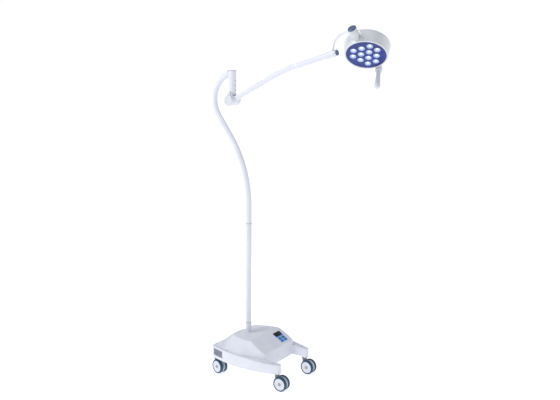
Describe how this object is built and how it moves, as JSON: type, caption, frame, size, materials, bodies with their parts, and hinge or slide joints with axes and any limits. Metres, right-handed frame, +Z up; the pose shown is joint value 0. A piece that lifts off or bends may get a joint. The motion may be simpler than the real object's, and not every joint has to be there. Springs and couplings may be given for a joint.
{
  "type": "examination lamp",
  "caption": "Mobile examination lamp: wheeled weighted base with control panel, S-shaped column, friction arm and round LED head with handle.",
  "frame": {"origin": "on the floor, on the axis of the column where it enters the base", "axes": "+X towards the front of the base, between its two legs; +Y to the lamp's left; +Z up along the column"},
  "size_m": [0.9516, 0.3955, 1.7982],
  "materials": {
    "cover_white": "satin lavender-white moulded plastic",
    "tube_white": "satin lavender-white powder coat",
    "head_white": "glossy silver-white plastic",
    "grey_plastic": "matte mid-grey plastic",
    "slate_plastic": "matte slate-blue plastic",
    "black_plastic": "matte black plastic",
    "knuckle_paint": "pale grey paint",
    "blue_face": "glossy deep blue plastic",
    "lens_clear": "moulded clear optics",
    "overlay_blue": "blue membrane",
    "display_dark": "black display window",
    "key_green": "teal key",
    "key_blue": "blue key",
    "board_green": "circuit board",
    "board_white": "white aluminium-core circuit board",
    "steel": "zinc-plated steel",
    "iron": "plain cast iron",
    "aluminium": "bare aluminium",
    "nylon": "natural nylon",
    "friction_pad": "friction lining",
    "cable_black": "cable sheath",
    "wheel_white": "white nylon wheel",
    "tyre_blue": "dark blue-grey tread"
  },
  "bodies": {
    "base": {"ballast_block": "iron", "base_cover": "cover_white", "battery": "black_plastic", "caster_stems": "steel", "chassis_plate": "steel", "column_cable": "cable_black", "column_rings": "tube_white", "column_socket": "tube_white", "control_board": "board_green", "control_panel": "overlay_blue", "cover_screws": "steel", "display_window": "display_dark", "lower_column": "tube_white", "mains_inlet": "black_plastic", "power_supply": "aluminium", "side_grilles": "grey_plastic", "sleeve_bushes": "nylon", "sleeve_cap": "grey_plastic", "sleeve_screws": "steel", "swivel_sleeve": "tube_white", "upper_column": "tube_white"},
    "key_power_body": {"key_power": "key_green"},
    "key_mode_body": {"key_mode": "key_green"},
    "key_up_body": {"key_up": "key_blue"},
    "key_down_body": {"key_down": "key_blue"},
    "rocker": {"mains_rocker": "black_plastic"},
    "front_near_swivel_body": {"front_near_fork": "black_plastic"},
    "front_near_wheels": {"front_near_hubs": "wheel_white", "front_near_tyres": "tyre_blue"},
    "front_far_swivel_body": {"front_far_fork": "black_plastic"},
    "front_far_wheels": {"front_far_hubs": "wheel_white", "front_far_tyres": "tyre_blue"},
    "rear_near_swivel_body": {"rear_near_fork": "black_plastic"},
    "rear_near_wheels": {"rear_near_hubs": "wheel_white", "rear_near_tyres": "tyre_blue"},
    "rear_far_swivel_body": {"rear_far_fork": "black_plastic"},
    "rear_far_wheels": {"rear_far_hubs": "wheel_white", "rear_far_tyres": "tyre_blue"},
    "swivel_fork": {"hub_fork": "tube_white", "hub_caps": "head_white", "pivot_bolt": "steel"},
    "arm": {"arm_root": "tube_white", "friction_washers": "friction_pad", "arm_tube": "tube_white", "arm_end_block": "tube_white", "arm_end_cap": "slate_plastic"},
    "yoke": {"yoke_rod": "tube_white"},
    "knuckle": {"knuckle_body": "knuckle_paint", "knuckle_cap": "slate_plastic"},
    "lamp_head": {"head_housing": "head_white", "back_cover": "head_white", "face_panel": "blue_face", "lens_array": "lens_clear", "led_board": "board_white", "heat_sink": "aluminium", "head_bracket": "slate_plastic", "handle_mount": "grey_plastic", "handle_grip": "head_white"}
  },
  "joints": [
    {"name": "key_power_press", "type": "slide", "parent": "base", "child": "key_power_body", "axis": [-0.5074, 0, -0.8617], "range_m": [0, 0.0012], "stiffness_N_per_m": 400, "springref_m": -0.0005},
    {"name": "key_mode_press", "type": "slide", "parent": "base", "child": "key_mode_body", "axis": [-0.5074, 0, -0.8617], "range_m": [0, 0.0012], "stiffness_N_per_m": 400, "springref_m": -0.0005},
    {"name": "key_up_press", "type": "slide", "parent": "base", "child": "key_up_body", "axis": [-0.5074, 0, -0.8617], "range_m": [0, 0.0012], "stiffness_N_per_m": 400, "springref_m": -0.0005},
    {"name": "key_down_press", "type": "slide", "parent": "base", "child": "key_down_body", "axis": [-0.5074, 0, -0.8617], "range_m": [0, 0.0012], "stiffness_N_per_m": 400, "springref_m": -0.0005},
    {"name": "rocker_tilt", "type": "hinge", "parent": "base", "child": "rocker", "pos_m": [-0.1375, -0.026, 0.116], "axis": [0, 0, 1], "range_deg": [-8, 8]},
    {"name": "front_near_swivel", "type": "hinge", "parent": "base", "child": "front_near_swivel_body", "pos_m": [0.2745, -0.132, 0.07], "axis": [0, 0, 1], "continuous": true},
    {"name": "front_near_roll", "type": "hinge", "parent": "front_near_swivel_body", "child": "front_near_wheels", "pos_m": [0.303, -0.132, 0.0375], "axis": [0, 1, 0], "continuous": true},
    {"name": "front_far_swivel", "type": "hinge", "parent": "base", "child": "front_far_swivel_body", "pos_m": [0.2745, 0.132, 0.07], "axis": [0, 0, 1], "continuous": true},
    {"name": "front_far_roll", "type": "hinge", "parent": "front_far_swivel_body", "child": "front_far_wheels", "pos_m": [0.30293, 0.13001, 0.0375], "axis": [0.0698, 0.9976, 0], "continuous": true},
    {"name": "rear_near_swivel", "type": "hinge", "parent": "base", "child": "rear_near_swivel_body", "pos_m": [-0.121, -0.1255, 0.07], "axis": [0, 0, 1], "continuous": true},
    {"name": "rear_near_roll", "type": "hinge", "parent": "rear_near_swivel_body", "child": "rear_near_wheels", "pos_m": [-0.09312, -0.13142, 0.0375], "axis": [0.2079, 0.9781, 0], "continuous": true},
    {"name": "rear_far_swivel", "type": "hinge", "parent": "base", "child": "rear_far_swivel_body", "pos_m": [-0.121, 0.1255, 0.07], "axis": [0, 0, 1], "continuous": true},
    {"name": "rear_far_roll", "type": "hinge", "parent": "rear_far_swivel_body", "child": "rear_far_wheels", "pos_m": [-0.09335, 0.1324, 0.0375], "axis": [-0.2419, 0.9703, 0], "continuous": true},
    {"name": "arm_swivel", "type": "hinge", "parent": "base", "child": "swivel_fork", "pos_m": [-0.10747, 0, 1.54], "axis": [0, 0, 1], "range_deg": [-160, 160]},
    {"name": "arm_lift", "type": "hinge", "parent": "swivel_fork", "child": "arm", "pos_m": [-0.10747, 0, 1.44], "axis": [0, -1, 0], "range_deg": [-45, 20]},
    {"name": "yoke_swivel", "type": "hinge", "parent": "arm", "child": "yoke", "pos_m": [0.48267, 0, 1.671], "axis": [0, 0, 1], "range_deg": [-150, 90]},
    {"name": "knuckle_roll", "type": "hinge", "parent": "yoke", "child": "knuckle", "pos_m": [0.59593, -0.0129, 1.7674], "axis": [0.9936, -0.1132, 0], "range_deg": [-24, 45]},
    {"name": "head_turn", "type": "hinge", "parent": "knuckle", "child": "lamp_head", "pos_m": [0.59593, -0.0129, 1.7674], "axis": [-0.0786, -0.6902, 0.7193], "range_deg": [-60, 40]}
  ]
}
